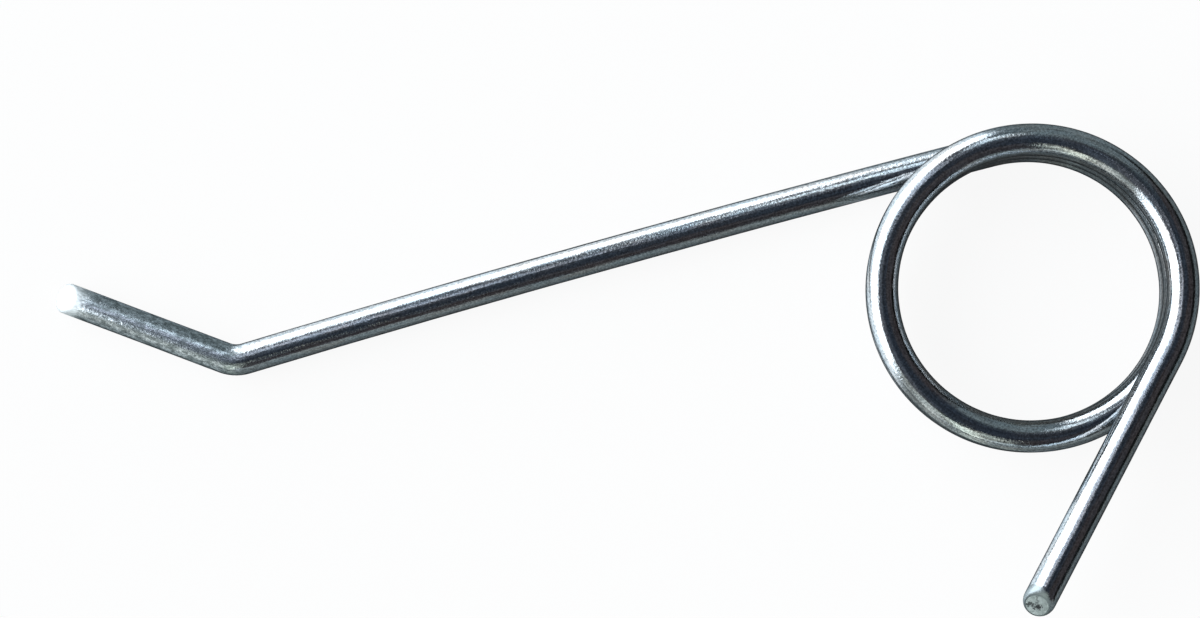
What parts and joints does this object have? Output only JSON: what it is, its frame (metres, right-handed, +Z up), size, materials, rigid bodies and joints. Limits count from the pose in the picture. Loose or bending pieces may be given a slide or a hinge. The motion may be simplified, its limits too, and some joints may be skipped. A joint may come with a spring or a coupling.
{
  "type": "scarifier spring tine",
  "caption": "Torsion spring tine bent from round wire: close-wound coil, long leg with a short angled hook, and a short straight leg that holds it.",
  "frame": {"origin": "where the coil's axis meets the surface that the tine lies on", "axes": "+X along the long leg towards the coil, +Z up off the surface that it lies on"},
  "size_m": [0.1059, 0.0534, 0.0093],
  "materials": {
    "zinc_plated_wire": "bright zinc plate on drawn spring steel, with fine drawn lines along the wire"
  },
  "bodies": {
    "root": {"spring_tine": "zinc_plated_wire"}
  },
  "joints": []
}
